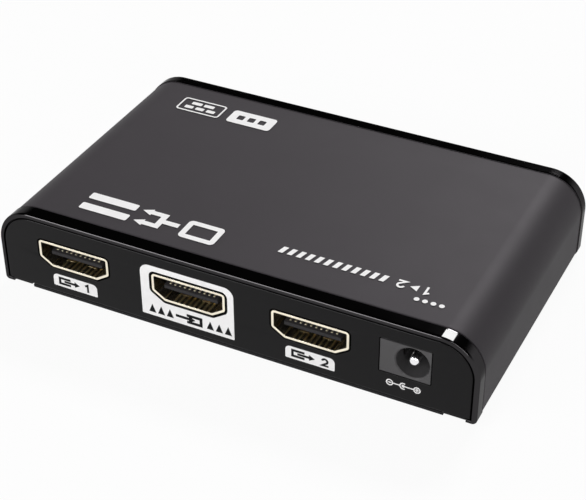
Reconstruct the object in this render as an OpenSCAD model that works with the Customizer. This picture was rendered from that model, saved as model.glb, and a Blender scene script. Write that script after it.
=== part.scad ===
// Video splitter: one input and two outputs in a low arched case, with a power jack.
// Millimetres. X runs to the right, Y from the connectors to the back, Z up.
// The origin lies on the surface it stands on, under the middle of the case.

/* [Case] */
// Width across the side walls
case_w = 96.4; // [92:0.2:120]
// Depth from the front rim to the rear rim
case_d = 58.4; // [56:0.2:90]
// Height of the cover, from its lower edge to its top
cover_h = 16.9; // [16.1:0.1:26]
// Outer radius of the two top corners
corner_r = 7.5; // [6:0.1:9]
// Wall thickness of the cover
cover_wall = 2; // [1.4:0.1:2.4]
// Width of the dark seam between the cover and each bezel
seam_w = 0.25; // [0.1:0.05:0.6]
// How deep the seam cuts into the cover's wall
seam_depth = 0.8; // [0.3:0.1:1.2]
// Clearance between parts that slide together
fit_gap = 0.15; // [0.05:0.05:0.3]

/* [Bezels] */
// Depth of the front bezel's band
front_band = 2.8; // [2.6:0.1:5]
// Depth of the rear bezel's band
rear_band = 2.4; // [2.3:0.1:5]
// Width of the lip round each panel
lip_w = 0.9; // [0.7:0.1:1.4]
// Radius of the lip's rounded outer edge
lip_edge = 0.4; // [0.1:0.05:0.6]
// Reach of the hooks at a bezel's feet, from the side of the case
hook_l = 1.9; // [1.5:0.1:4]
// Radius of the lower edges of the cover and the bezels
foot_r = 0.9; // [0.2:0.1:1.5]
// Length of the spigot that goes into the cover
spigot_l = 3; // [1.5:0.1:5]
// Wall thickness of the spigot
spigot_t = 1.2; // [0.8:0.1:1.5]

/* [Panels] */
// Thickness of the front and rear panels
panel_t = 1.5; // [1.2:0.1:1.7]
// How far a panel lies behind the rim
panel_recess = 0.05; // [0.05:0.05:0.6]
// Gap between a panel and the lip round it
panel_gap = 0.3; // [0.1:0.05:0.6]
// Chamfer on a panel's front edge
panel_chamfer = 0.1; // [0.05:0.05:0.5]
// Height of a panel's lower edge above the feet of its bezel
panel_rise = 0.6; // [0.3:0.05:1]
// Gap between a port and its cut-out in the panel
cutout_gap = 0.35; // [0.2:0.05:0.8]

/* [Base and feet] */
// Thickness of the base plate
base_t = 1.5; // [1.3:0.1:2.5]
// How far the base lies below the cover's lower edge
base_drop = 0.2; // [0.1:0.05:0.8]
// Distance of the thin base apron from each side of the case
apron_inset = 6.2; // [4.5:0.1:20]
// Distance of the apron's edge behind the rim
apron_set = 0.5; // [0.2:0.1:1]
// Gap between the apron and the panel above it
apron_gap = 0.5; // [0.2:0.05:0.8]
// Height of the apron
apron_h = 0.6; // [0.4:0.05:1]
// Diameter of a rubber foot
foot_d = 8; // [5:0.5:12]
// Thickness of a rubber foot
foot_t = 1.2; // [1:0.1:3]
// Depth of the recess that a foot is stuck in
foot_seat = 0.6; // [0.3:0.1:0.8]
// Chamfer round a foot's underside
foot_edge = 0.4; // [0.1:0.1:0.8]
// Distance between a foot and the screw head beside it
foot_gap = 3; // [1:0.5:8]

/* [Screws] */
// Thread diameter of the case screws
screw_d = 2.5; // [2:0.1:3]
// Length of a screw under its head
screw_l = 10; // [7:0.5:11]
// Diameter of a screw head
head_d = 4.6; // [4:0.1:5]
// Height of a screw head
head_h = 1.6; // [1:0.1:2]
// Length of the cross recess in a screw head
recess_l = 2.6; // [1.5:0.1:3.2]
// Width of the cross recess
recess_w = 0.7; // [0.4:0.1:1]
// Depth of the cross recess
recess_depth = 0.9; // [0.4:0.1:0.9]
// Depth of the screw head's seat, from the base's underside
head_seat = 2; // [2:0.1:2.6]
// Diameter of the screw posts in the cover
post_d = 5; // [4.4:0.1:6]
// Wall round the screw head's seat in a boss
boss_wall = 0.8; // [0.6:0.1:1.2]
// Distance between a boss and the cover's side wall
boss_side_gap = 0.2; // [0.2:0.1:3]
// Distance between a screw post and the bezel's spigot
post_end_gap = 1.5; // [0.5:0.1:5]

/* [Board] */
// Thickness of the circuit board
board_t = 1.6; // [1:0.1:2]
// Height of the board above the base plate
board_lift = 3.1; // [2:0.1:3.4]
// Gap between the board's edge and the parts round it
board_gap = 0.25; // [0.1:0.05:1]
// Width of board behind the rear screws
board_margin = 4; // [3:0.1:7]

/* [Ports] */
// Width of a port's metal shell
port_w = 15; // [14.6:0.1:16]
// Height of a port's metal shell
port_h = 5.4; // [5.2:0.05:6]
// Height of the shell's upright sides
port_side = 3.7; // [3:0.1:4.2]
// Width of each slanting corner
port_slope = 2.6; // [1.5:0.1:3]
// Height of the shell above the board
port_lift = 0.56; // [0.5:0.02:1]
// How far a connector's mouth lies behind the panel's face
port_set = 0; // [0:0.05:0.5]
// Gap between the first port and the screw boss beside it
port_boss_gap = 0.55; // [0.2:0.05:5]
// Thickness of the shell's sheet metal
shell_t = 0.45; // [0.3:0.05:0.6]
// Outside bend radius of the shell
shell_r = 0.7; // [0.5:0.1:1.2]
// Width of the tongue that carries the contacts
tongue_w = 11; // [10.6:0.1:11.6]
// Thickness of the tongue
tongue_t = 1.1; // [0.9:0.05:1.3]
// How much the tongue's tip tapers on each face
tongue_chamfer = 0.2; // [0.1:0.05:0.3]
// Depth of the tongue's upper face below the shell's top
tongue_drop = 2.4; // [2.1:0.05:2.6]
// How far the tongue lies behind the mouth
tongue_set = 1; // [0.5:0.1:2]
// Length of the insulator's block behind the tongue
block_l = 3.5; // [3:0.1:6]
// Distance between contacts in one row
contact_pitch = 1; // [0.8:0.05:1.05]
// Width of a contact
contact_w = 0.35; // [0.2:0.05:0.4]
// Thickness of a contact
contact_t = 0.15; // [0.1:0.01:0.2]
// Length of a contact's foot on the board
contact_foot = 1.2; // [0.6:0.1:2]

/* [Port springs] */
// Width of one retention spring
spring_w = 1.8; // [1.2:0.1:2]
// Length of one retention spring
spring_l = 4.6; // [3.5:0.1:6]
// Thickness of the spring
spring_t = 0.25; // [0.15:0.05:0.3]
// Slot round the spring
spring_slot = 0.3; // [0.2:0.05:0.4]
// Distance of the springs' roots behind the mouth
spring_set = 2.4; // [2:0.1:4]
// How far the spring's bump stands into the port
spring_bump = 0.35; // [0.2:0.05:0.5]
// Distance of the upper springs from the port's middle
upper_spring_x = 3.4; // [2:0.1:4.5]
// Distance of the lower springs from the port's middle
lower_spring_x = 2.3; // [1.8:0.1:2.4]

/* [Power jack] */
// Diameter of the jack's bore
jack_bore = 6.2; // [5.8:0.1:6.6]
// Depth of the jack's bore
jack_depth = 10; // [8:0.1:11]
// Length of the jack's housing
jack_l = 14; // [13.6:0.1:18]
// Wall above and below the bore
jack_wall = 0.35; // [0.2:0.05:0.8]
// Wall between the bore and the housing's right side
jack_rim = 0.3; // [0.2:0.05:1]
// Room for the sleeve spring on the bore's left side
jack_side = 2.9; // [2.6:0.1:4]
// Gap between the jack and the screw boss beside it
jack_boss_gap = 0.3; // [0.2:0.1:5]
// Gap between the second output and the jack
jack_port_gap = 5.8; // [2:0.1:8]
// Gap between the jack and its cut-out in the panel
jack_gap = 0.2; // [0.1:0.05:0.5]
// Chamfer round the mouth of the bore
jack_chamfer = 0.25; // [0.1:0.05:0.3]
// Diameter of the centre pin
pin_d = 2; // [1.6:0.1:2.5]
// How far the pin's tip lies behind the mouth
pin_set = 0.4; // [0.2:0.1:3]
// Chamfer round the pin's tip
pin_chamfer = 0.4; // [0.2:0.05:0.6]
// Thickness of the sleeve spring
leaf_t = 0.3; // [0.2:0.05:0.4]
// Height of the sleeve spring
leaf_h = 3; // [2.6:0.1:3.4]
// Length of the sleeve spring
leaf_l = 7.6; // [6:0.1:8]
// How far the spring's bump stands into the bore
leaf_bump = 0.7; // [0.4:0.05:0.9]

/* [Indicator] */
// Length of the indicator's window along the case
lens_l = 2; // [1:0.1:4]
// Width of the window along the band
lens_w = 2; // [1:0.1:2.1]
// Distance of the window behind the rim
lens_set = 0.4; // [0.2:0.05:0.6]
// Distance of the window's middle past the start of the rounded corner
lens_shift = 1.2; // [0:0.1:3]

/* [Hidden] */
$fn = 64;
// Small clearance of parts that are pressed together
press_gap = 0.02;
// Clearance round a screw's thread in its post
thread_gap = 0.05;
// Overlap that keeps cuts clean
cut = 1;
// Smallest radius of a rounded inside corner
least_r = 0.1;

// Heights of the main levels above the surface
base_z = foot_t - foot_seat;
base_top = base_z + base_t;
edge_z = base_z + base_drop;
panel_z = edge_z + panel_rise;
apron_top = base_z + apron_h;
cover_top = edge_z + cover_h;
board_z = base_top + board_lift;
board_top = board_z + board_t;
port_z = board_top + port_lift;
screw_tip = base_z + head_seat + screw_l;

// Places along Y
front_y = -case_d / 2;
rear_y = case_d / 2;
cover_front = front_y + front_band;
cover_rear = rear_y - rear_band;
panel_back = panel_recess + panel_t;
port_y = front_y + panel_recess + port_set;
board_front = front_y + panel_back + board_gap;

// Screw places: beside the side walls, behind the spigots
side_x = case_w / 2;
boss_d = head_d + 2 * boss_wall;
screw_x = side_x - cover_wall - boss_side_gap - boss_d / 2;
screw_front = cover_front + spigot_l + post_end_gap + post_d / 2;
screw_rear = cover_rear - spigot_l - post_end_gap - post_d / 2;
screw_places = [for (x = [-screw_x, screw_x], y = [screw_front, screw_rear]) [x, y]];
board_rear = screw_rear + board_margin;
base_half = side_x - cover_wall - fit_gap;
spigot_inset = cover_wall + fit_gap;
inner_inset = spigot_inset + spigot_t;
board_half = side_x - inner_inset - board_gap;
foot_x = screw_x - head_d / 2 - foot_gap - foot_d / 2;

// Connector places along X, packed between the screw bosses
jack_w = jack_side + jack_bore + jack_rim;
jack_h = jack_bore + 2 * jack_wall;
jack_right = screw_x - boss_d / 2 - jack_boss_gap;
first_port = boss_d / 2 - screw_x + port_boss_gap + port_w / 2;
last_port = jack_right - jack_w - jack_port_gap - port_w / 2;
port_x = [first_port, (first_port + last_port) / 2, last_port];

// Port details, measured from the middle of the mouth at the shell's underside
spring_back = 0.6;
shell_l = spring_set + spring_l + spring_slot + spring_back + block_l;
spring_root = spring_set + press_gap + spring_t / 2;
bump_r = 1;
bump_share = 0.72;
leg_front = 3.2;
leg_rear = 2.2;
leg_places = [leg_front, shell_l - leg_rear];
leg_wide = 2;
leg_narrow = 1.1;
leg_out = 0.8;
leg_gap = 0.15;
block_foot = 8.4;
block_foot_l = 2.4;
upper_contacts = 10;
lower_contacts = 9;
contact_sink = 0.07;
contact_lead = 0.5;

// Jack details, measured from the bore's axis at the mouth
jack_x = jack_right - jack_rim - jack_bore / 2;
jack_z = board_top + jack_h / 2;
leaf_clear = 0.5;
leaf_x = -jack_bore / 2 - leaf_clear;
leaf_end = 2.8;
leaf_root = jack_l - leaf_end;
leaf_bump_r = 1.2;
leaf_bump_h = 1.4;
leaf_bump_share = 0.8;
pin_collar_t = 0.3;
pin_root_d = pin_d + 2 * pin_collar_t;
pocket_x = 0.7;
terminal_w = 1;
terminal_t = 0.5;
terminal_out = 0.8;
leg_z = -jack_h / 2 - board_t - terminal_out;
hole_gap = 0.25;

// Indicator
lens_x = side_x - corner_r + lens_shift;
stem_gap = 0.05;
stem_join = 0.2;
led_l = 1.6;
led_w = 0.8;
led_h = 0.6;
lamp_top = board_top + led_h;

// Rows of small parts behind each port, and the line where the larger parts start
row_gap = 1.5;
row_pitch = 2.5;
parts_gap = 2;
surge_size = [2.5, 1, 0.55];
surge_spread = 3.5;
resistor_size = [0.8, 1.6, 0.5];
resistor_pitch = 2.2;
surge_row = shell_l + contact_foot + row_gap;
resistor_row = surge_row + row_pitch;
parts_y = port_y + max(jack_l + terminal_t, resistor_row + resistor_size.y / 2) + parts_gap;

// Larger board parts: columns along X, rows behind parts_y, then each part's size and place
memory_x = -25;
chip_x = -7;
power_x = 13;
can_x = 24;
chip_row = 8.4;
crystal_row = 20;
power_rows = [5, 15];
chip_size = [10, 10, 0.9];
chip_place = [chip_x, parts_y + chip_row];
chip_dot_d = 0.8;
chip_dot_inset = 1.2;
chip_dot_depth = 0.1;
memory_size = [4.9, 3.9, 1.6];
memory_place = [memory_x, parts_y + chip_row];
memory_pitch = 1.27;
memory_lead = [0.4, 6, 0.2];
crystal_size = [11, 4.5, 3.5];
crystal_place = [chip_x, parts_y + crystal_row];
regulator_size = [6.5, 3.5, 1.65];
regulator_place = [power_x, parts_y + power_rows[0]];
regulator_tab = [3, 2, 0.3];
regulator_lead = [0.7, 2, 0.3];
regulator_pitch = 2.3;
inductor_size = [6, 6, 2.8];
inductor_place = [power_x, parts_y + power_rows[1]];
inductor_groove = [3.6, 5, 0.4];
can_d = 6.3;
can_h = 5.4;
can_base = [6.5, 6.5, 0.9];
can_places = [for (row = power_rows) [can_x, parts_y + row]];
capacitor_size = [1, 1.6, 0.8];
capacitor_pitch = 2.4;
capacitor_gap = 1;

// Outline helpers

// Extrudes an outline drawn in X and Z from y0 back to y1
module along_y(y0, y1) {
    translate([0, y1, 0])
        rotate([90, 0, 0])
            linear_extrude(y1 - y0)
                children();
}

// A block given by its lowest and highest corners
module block(low, high) {
    translate(low)
        cube(high - low);
}

// The case's arch outline, drawn in by inset, standing on the height foot
module arch(inset, foot) {
    half = side_x - inset;
    top = cover_top - inset;
    r = corner_r - inset;
    translate([-half, foot])
        square([2 * half, top - r - foot]);
    translate([-half + r, foot])
        square([2 * (half - r), top - foot]);
    for (side = [-1, 1])
        translate([side * (half - r), top - r])
            circle(r);
}

// The cover's outline, the arch with rounded lower edges
module cover_outline() {
    arch(0, edge_z + foot_r);
    translate([foot_r - side_x, edge_z])
        square([2 * (side_x - foot_r), 2 * foot_r]);
    for (side = [-1, 1])
        translate([side * (side_x - foot_r), edge_z + foot_r])
            circle(foot_r);
}

// The same outline for the bezels, drawn in by inset
module bezel_outline(inset) {
    half = side_x - inset;
    r = max(corner_r - inset, least_r);
    low_r = max(foot_r - inset, least_r);
    hull()
        for (side = [-1, 1]) {
            translate([side * (half - r), cover_top - inset - r])
                circle(r);
            translate([side * (half - low_r), edge_z + inset + low_r])
                circle(low_r);
        }
}

// Arc that rounds the corner p between its neighbours a and b
function corner_arc(a, p, b, r, steps) =
    let (u = (a - p) / norm(a - p),
         v = (b - p) / norm(b - p),
         half = acos(u * v) / 2,
         middle = p + (u + v) / norm(u + v) * r / sin(half),
         from = p + u * r / tan(half) - middle,
         to = p + v * r / tan(half) - middle,
         start = atan2(from.y, from.x),
         turn = (atan2(to.y, to.x) - start + 540) % 360 - 180)
    [for (i = [0 : steps])
        middle + r * [cos(start + turn * i / steps), sin(start + turn * i / steps)]];

// Outline with every corner rounded to radius r
function rounded(points, r) =
    let (n = len(points))
    [for (i = [0 : n - 1])
        each corner_arc(points[(i + n - 1) % n], points[i], points[(i + 1) % n], r, 5)];

// The port's outline with slanting lower corners, moved outwards by grow
function port_outline(grow) =
    let (fall = port_h - port_side,
         n = [fall, -port_slope] / norm([fall, port_slope]),
         x = port_w / 2 + grow,
         shoulder = fall + grow * (1 - n.x) / n.y,
         low = port_w / 2 + (grow + n.y * (grow + fall)) / n.x)
    [[low, -grow], [x, shoulder], [x, port_h + grow],
     [-x, port_h + grow], [-x, shoulder], [-low, -grow]];

module at_port(i) {
    translate([port_x[i], port_y, port_z])
        children();
}

module at_jack() {
    translate([jack_x, port_y, jack_z])
        children();
}

module at_screws() {
    for (place = screw_places)
        translate([place.x, place.y, 0])
            children();
}

// Turns what is drawn for the front of the case to its rear
module to_rear() {
    rotate([0, 0, 180])
        children();
}

// Case

module top_cover() {
    color("#2f2f33")
        difference() {
            union() {
                along_y(cover_front, cover_rear)
                    difference() {
                        cover_outline();
                        arch(cover_wall, edge_z - cut);
                    }
                intersection() {
                    at_screws()
                        translate([0, 0, board_top])
                            cylinder(d = post_d, h = cover_top - board_top);
                    along_y(cover_front, cover_rear)
                        arch(cover_wall / 2, edge_z);
                }
            }
            at_screws()
                translate([0, 0, board_top - cut])
                    cylinder(d = screw_d + 2 * thread_gap, h = screw_tip - board_top + 2 * cut);
            for (end = [[cover_front - cut, cover_front + seam_w], [cover_rear - seam_w, cover_rear + cut]])
                along_y(end[0], end[1])
                    difference() {
                        arch(-cut, edge_z - cut);
                        arch(seam_depth, edge_z - 2 * cut);
                    }
        }
}

module base_plate() {
    color("#1d1d20")
        difference() {
            union() {
                block([-base_half, board_front, base_z], [base_half, -board_front, base_top]);
                block([apron_inset - side_x, front_y + apron_set, base_z],
                      [side_x - apron_inset, rear_y - apron_set, apron_top]);
                at_screws()
                    translate([0, 0, base_z])
                        cylinder(d = boss_d, h = board_z - base_z);
            }
            at_screws() {
                translate([0, 0, base_z - cut])
                    cylinder(d = screw_d + 2 * fit_gap, h = board_z - base_z + 2 * cut);
                translate([0, 0, base_z - cut])
                    cylinder(d = head_d + 2 * fit_gap, h = head_seat + cut);
            }
            at_feet()
                translate([0, 0, base_z - cut])
                    cylinder(d = foot_d + 2 * fit_gap, h = foot_seat + cut);
        }
}

module at_feet() {
    for (x = [-foot_x, foot_x], y = [screw_front, screw_rear])
        translate([x, y, 0])
            children();
}

module rubber_feet() {
    color("#161616")
        at_feet() {
            cylinder(d1 = foot_d - 2 * foot_edge, d2 = foot_d, h = foot_edge);
            translate([0, 0, foot_edge])
                cylinder(d = foot_d, h = foot_t - foot_edge);
        }
}

// Cross recess of a screw head, cut from below
module cross_recess() {
    for (turn = [0, 90])
        rotate([0, 0, turn])
            translate([-recess_l / 2, -recess_w / 2, -cut])
                cube([recess_l, recess_w, recess_depth + cut]);
}

module case_screws() {
    color("#8a8a8e")
        at_screws()
            translate([0, 0, base_z + head_seat - head_h])
                difference() {
                    union() {
                        cylinder(d = head_d, h = head_h);
                        cylinder(d = screw_d, h = head_h + screw_l);
                    }
                    cross_recess();
                }
}

// Bezel drawn with its rim at the front of the case
module bezel(band) {
    band_back = front_y + band;
    difference() {
        union() {
            hull() {
                for (turn = [0 : 30 : 90])
                    along_y(front_y + lip_edge * (1 - sin(turn)), band_back)
                        bezel_outline(lip_edge * (1 - cos(turn)));
            }
            along_y(front_y + panel_back, band_back + spigot_l)
                arch(spigot_inset, base_top + fit_gap);
        }
        along_y(front_y - cut, front_y + panel_back) {
            arch(lip_w, edge_z + lip_w);
            translate([hook_l - side_x, edge_z - cut])
                square([2 * (side_x - hook_l), cover_h / 2]);
        }
        along_y(front_y, band_back + spigot_l + cut)
            arch(inner_inset, edge_z - cut);
        block([-base_half - fit_gap, front_y + panel_back, edge_z - cut],
              [base_half + fit_gap, band_back + cut, base_top + fit_gap]);
    }
}

module front_bezel() {
    color("#0e0e10")
        difference() {
            bezel(front_band);
            lens_head(stem_gap);
            lens_stem(stem_gap);
        }
}

module rear_bezel() {
    color("#0e0e10")
        to_rear()
            bezel(rear_band);
}

// Panel drawn at the front of the case, notched for the bezel's hooks and the base's apron
module panel() {
    inset = lip_w + panel_gap;
    face = front_y + panel_recess;
    apron_half = side_x - apron_inset + panel_gap;
    difference() {
        hull() {
            along_y(face, face + panel_t)
                arch(inset + panel_chamfer, panel_z + panel_chamfer);
            along_y(face + panel_chamfer, face + panel_t)
                arch(inset, panel_z);
        }
        for (side = [-1, 1])
            translate([side * side_x, face + panel_t / 2, edge_z])
                cube([2 * (hook_l + panel_gap), panel_t + 2 * cut, 2 * inset], center = true);
        block([-apron_half, face - cut, edge_z],
              [apron_half, face + panel_t + cut, apron_top + apron_gap]);
    }
}

module front_panel() {
    color("#26262a")
        difference() {
            panel();
            for (i = [0 : 2])
                translate([port_x[i], 0, port_z])
                    along_y(front_y - cut, front_y + panel_back + cut)
                        polygon(rounded(port_outline(cutout_gap), shell_r + cutout_gap));
            translate([jack_right - jack_w / 2, 0, jack_z])
                along_y(front_y - cut, front_y + panel_back + cut)
                    square([jack_w + 2 * jack_gap, jack_h + 2 * jack_gap], center = true);
        }
}

module rear_panel() {
    color("#1a1a1d")
        to_rear()
            panel();
}

// Head of the light pipe, the white window in the band
module lens_head(grow) {
    intersection() {
        block([lens_x - lens_l / 2 - grow, front_y + lens_set - grow, board_top],
              [lens_x + lens_l / 2 + grow, front_y + lens_set + lens_w + grow, cover_top + cut]);
        along_y(front_y, front_y + front_band)
            difference() {
                arch(-grow, edge_z);
                arch(lip_w + grow, edge_z);
            }
    }
}

// Stem of the light pipe, behind the panel, down to the lamp on the board
module lens_stem(grow) {
    intersection() {
        block([lens_x - lens_l / 2 - grow, front_y + panel_back + stem_gap - grow, lamp_top + fit_gap],
              [lens_x + lens_l / 2 + grow, front_y + front_band - stem_gap + grow, cover_top + cut]);
        along_y(front_y, front_y + front_band + cut)
            arch(lip_w - stem_join - grow, edge_z);
    }
}

module indicator_lens() {
    color("#f4f4f4") {
        lens_head(0);
        lens_stem(0);
    }
}

module circuit_board() {
    color("#1f5a35")
        difference() {
            block([-board_half, board_front, board_z], [board_half, board_rear, board_top]);
            at_screws()
                translate([0, 0, board_z - cut])
                    cylinder(d = screw_d + 2 * fit_gap, h = board_t + 2 * cut);
            for (i = [0 : 2])
                at_port(i)
                    shell_legs(leg_gap, leg_narrow, -port_lift - board_t - cut);
            at_jack() {
                pin_leg(hole_gap);
                spring_leg(hole_gap);
                switch_leg(hole_gap);
            }
        }
}

// Ports

// Four legs of a shell, from its sides down to the height low
module shell_legs(grow, wide, low) {
    for (side = [-1, 1], y = leg_places)
        translate([side * (port_w - shell_t) / 2, y, 0])
            block([-shell_t / 2 - grow, -wide / 2 - grow, low],
                  [shell_t / 2 + grow, wide / 2 + grow, port_h / 2]);
}

// Windows round a pair of springs, through the wall between two heights
module spring_windows(x, low, high) {
    for (side = [-1, 1])
        translate([side * x, 0, 0])
            block([-spring_w / 2 - spring_slot, spring_set, low],
                  [spring_w / 2 + spring_slot, spring_set + spring_l + spring_slot, high]);
}

module port_shell(i) {
    color("#d9c9a0")
        at_port(i) {
            difference() {
                along_y(0, shell_l)
                    difference() {
                        polygon(rounded(port_outline(0), shell_r));
                        polygon(rounded(port_outline(-shell_t), max(shell_r - shell_t, least_r)));
                    }
                spring_windows(upper_spring_x, port_h - 2 * shell_t, port_h + cut);
                spring_windows(lower_spring_x, -cut, 2 * shell_t);
                block([-block_foot / 2 - fit_gap, shell_l - block_foot_l - fit_gap, -cut],
                      [block_foot / 2 + fit_gap, shell_l + cut, 2 * shell_t]);
            }
            difference() {
                union() {
                    shell_legs(0, leg_wide, -port_lift);
                    shell_legs(0, leg_narrow, -port_lift - board_t - leg_out);
                }
                along_y(-cut, shell_l + cut)
                    polygon(rounded(port_outline(-shell_t / 2), max(shell_r - shell_t / 2, least_r)));
            }
        }
}

// Contacts of both rows, widened by grow for the channels they lie in
module contact_rows(grow) {
    rows = [[upper_contacts, port_h - tongue_drop - contact_sink],
            [lower_contacts, port_h - tongue_drop - tongue_t + contact_sink - contact_t]];
    for (row = rows, k = [0 : row[0] - 1])
        translate([(k - (row[0] - 1) / 2) * contact_pitch, 0, 0]) {
            half = contact_w / 2 + grow;
            block([-half, tongue_set + contact_lead - grow, row[1] - grow],
                  [half, shell_l + contact_t, row[1] + contact_t + grow]);
            block([-half, shell_l, -port_lift], [half, shell_l + contact_t, row[1] + contact_t]);
            block([-half, shell_l, -port_lift], [half, shell_l + contact_foot, contact_t - port_lift]);
        }
}

// Tongue with a tapered tip
module port_tongue() {
    top = port_h - tongue_drop;
    hull()
        for (taper = [[0, tongue_chamfer], [contact_lead, 0]])
            block([-tongue_w / 2, tongue_set + taper[0], top - tongue_t + taper[1]],
                  [tongue_w / 2, shell_l - block_l + cut, top - taper[1]]);
}

module port_insulator(i) {
    color("#2b2830")
        at_port(i)
            difference() {
                union() {
                    along_y(shell_l - block_l, shell_l)
                        polygon(rounded(port_outline(-shell_t - press_gap), max(shell_r - shell_t, least_r)));
                    port_tongue();
                    block([-block_foot / 2, shell_l - block_foot_l, -port_lift],
                          [block_foot / 2, shell_l, port_h / 2]);
                }
                contact_rows(press_gap);
            }
}

module port_contacts(i) {
    color("#e0b34a")
        at_port(i)
            contact_rows(0);
}

// One retention spring lying in the wall at height z, its bump towards inwards (1 up, -1 down)
module port_spring(z, inwards) {
    bump_y = spring_root + spring_l * bump_share;
    bump_z = z + inwards * (spring_t / 2 + spring_bump - bump_r);
    block([-spring_w / 2, spring_root, z - spring_t / 2],
          [spring_w / 2, spring_set + spring_l, z + spring_t / 2]);
    translate([-spring_w / 2, spring_root, z])
        rotate([0, 90, 0])
            cylinder(d = spring_t, h = spring_w);
    intersection() {
        translate([-spring_w / 2, bump_y, bump_z])
            rotate([0, 90, 0])
                cylinder(r = bump_r, h = spring_w);
        translate([0, bump_y, z + inwards * bump_r])
            cube([2 * spring_w, 2 * bump_r, 2 * bump_r], center = true);
    }
}

module port_upper_springs(i) {
    color("#c9b27a")
        at_port(i)
            for (side = [-1, 1])
                translate([side * upper_spring_x, 0, 0])
                    port_spring(port_h - shell_t + spring_t / 2, -1);
}

module port_lower_springs(i) {
    color("#c9b27a")
        at_port(i)
            for (side = [-1, 1])
                translate([side * lower_spring_x, 0, 0])
                    port_spring(shell_t - spring_t / 2, 1);
}

// Power jack, drawn from the bore's axis at the mouth

module jack_housing() {
    left = jack_rim + jack_bore / 2 - jack_w;
    color("#3a3a3e")
        at_jack()
            difference() {
                block([left, 0, -jack_h / 2], [left + jack_w, jack_l, jack_h / 2]);
                rotate([-90, 0, 0]) {
                    translate([0, 0, -cut])
                        cylinder(d = jack_bore, h = jack_depth + cut);
                    cylinder(d = pin_root_d + 2 * press_gap, h = jack_l + cut);
                    translate([0, 0, -press_gap])
                        cylinder(d1 = jack_bore + 2 * jack_chamfer, d2 = jack_bore, h = jack_chamfer);
                }
                block([left + pocket_x, leaf_root - leaf_l - 2 * fit_gap, -leaf_h / 2 - fit_gap],
                      [0, leaf_root + leaf_t / 2 + terminal_w + fit_gap, leaf_h / 2 + fit_gap]);
                spring_leg(fit_gap);
                switch_leg(fit_gap);
            }
}

module jack_pin() {
    color("#d8d8dc")
        at_jack() {
            rotate([-90, 0, 0]) {
                translate([0, 0, pin_set])
                    cylinder(d1 = pin_d - 2 * pin_chamfer, d2 = pin_d, h = pin_chamfer);
                translate([0, 0, pin_set + pin_chamfer])
                    cylinder(d = pin_d, h = jack_depth - pin_set - pin_chamfer);
                translate([0, 0, jack_depth])
                    cylinder(d = pin_root_d, h = jack_l - jack_depth + terminal_t);
            }
            pin_leg(0);
        }
}

// Terminal of the pin, behind the housing
module pin_leg(grow) {
    block([-pin_d / 2 - grow, jack_l - grow, leg_z - grow],
          [pin_d / 2 + grow, jack_l + terminal_t + grow, 0]);
}

// Terminal that the sleeve spring is held by
module spring_leg(grow) {
    start = leaf_root + leaf_t / 2 + press_gap;
    block([leaf_x - leaf_t / 2 - grow, start - grow, leg_z - grow],
          [leaf_x + leaf_t / 2 + grow, start + terminal_w + grow, leaf_h / 2]);
}

// Contact that the sleeve spring rests on while no plug is in
module switch_leg(grow) {
    start = leaf_root - leaf_l;
    rest_x = leaf_x + leaf_t / 2 + press_gap;
    block([rest_x - grow, start - grow, leg_z - grow],
          [rest_x + leaf_t + grow, start + terminal_w + grow, -leaf_bump_h / 2 - fit_gap]);
}

module jack_spring() {
    bump_y = leaf_root - leaf_l * leaf_bump_share;
    bump_x = leaf_bump - jack_bore / 2 - leaf_bump_r;
    color("#cdb98a")
        at_jack() {
            block([leaf_x - leaf_t / 2, leaf_root - leaf_l, -leaf_h / 2],
                  [leaf_x + leaf_t / 2, leaf_root, leaf_h / 2]);
            translate([leaf_x, leaf_root, -leaf_h / 2])
                cylinder(d = leaf_t, h = leaf_h);
            intersection() {
                translate([bump_x, bump_y, -leaf_bump_h / 2])
                    cylinder(r = leaf_bump_r, h = leaf_bump_h);
                translate([leaf_x + leaf_bump_r, bump_y, 0])
                    cube([2 * leaf_bump_r, 2 * leaf_bump_r, leaf_h], center = true);
            }
        }
}

module jack_spring_terminal() {
    color("#cdb98a")
        at_jack()
            spring_leg(0);
}

module jack_switch_contact() {
    color("#cdb98a")
        at_jack()
            switch_leg(0);
}

// Parts on the board

module on_board(place) {
    translate([place.x, place.y, board_top])
        children();
}

// A block of the given size, standing in the middle of its place
module standing(size) {
    translate([-size.x / 2, -size.y / 2, 0])
        cube(size);
}

module splitter_chip() {
    dot = chip_size / 2 - [chip_dot_inset, chip_dot_inset, 0];
    color("#202022")
        on_board(chip_place)
            difference() {
                standing(chip_size);
                translate([-dot.x, dot.y, chip_size.z - chip_dot_depth])
                    cylinder(d = chip_dot_d, h = cut);
            }
}

module memory_chip() {
    color("#202022")
        on_board(memory_place) {
            standing(memory_size);
            for (k = [-1.5 : 1.5])
                translate([k * memory_pitch, 0, 0])
                    standing(memory_lead);
        }
}

module crystal() {
    middle = (crystal_size.x - crystal_size.y) / 2;
    color("#c8c8cc")
        on_board(crystal_place) {
            standing([2 * middle, crystal_size.y, crystal_size.z]);
            for (side = [-1, 1])
                translate([side * middle, 0, 0])
                    cylinder(d = crystal_size.y, h = crystal_size.z);
        }
}

module regulator() {
    color("#242426")
        on_board(regulator_place) {
            standing(regulator_size);
            translate([0, (regulator_size.y + regulator_tab.y) / 2 - press_gap, 0])
                standing(regulator_tab);
            for (k = [-1 : 1])
                translate([k * regulator_pitch, press_gap - (regulator_size.y + regulator_lead.y) / 2, 0])
                    standing(regulator_lead);
        }
}

module inductor() {
    color("#4a4a4e")
        on_board(inductor_place)
            difference() {
                standing(inductor_size);
                translate([0, 0, inductor_size.z - inductor_groove.z])
                    difference() {
                        cylinder(d = inductor_groove.y, h = cut);
                        cylinder(d = inductor_groove.x, h = cut);
                    }
            }
}

module bulk_capacitors() {
    color("#b8bcc2")
        for (place = can_places)
            on_board(place) {
                standing(can_base);
                cylinder(d = can_d, h = can_h);
            }
}

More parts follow.
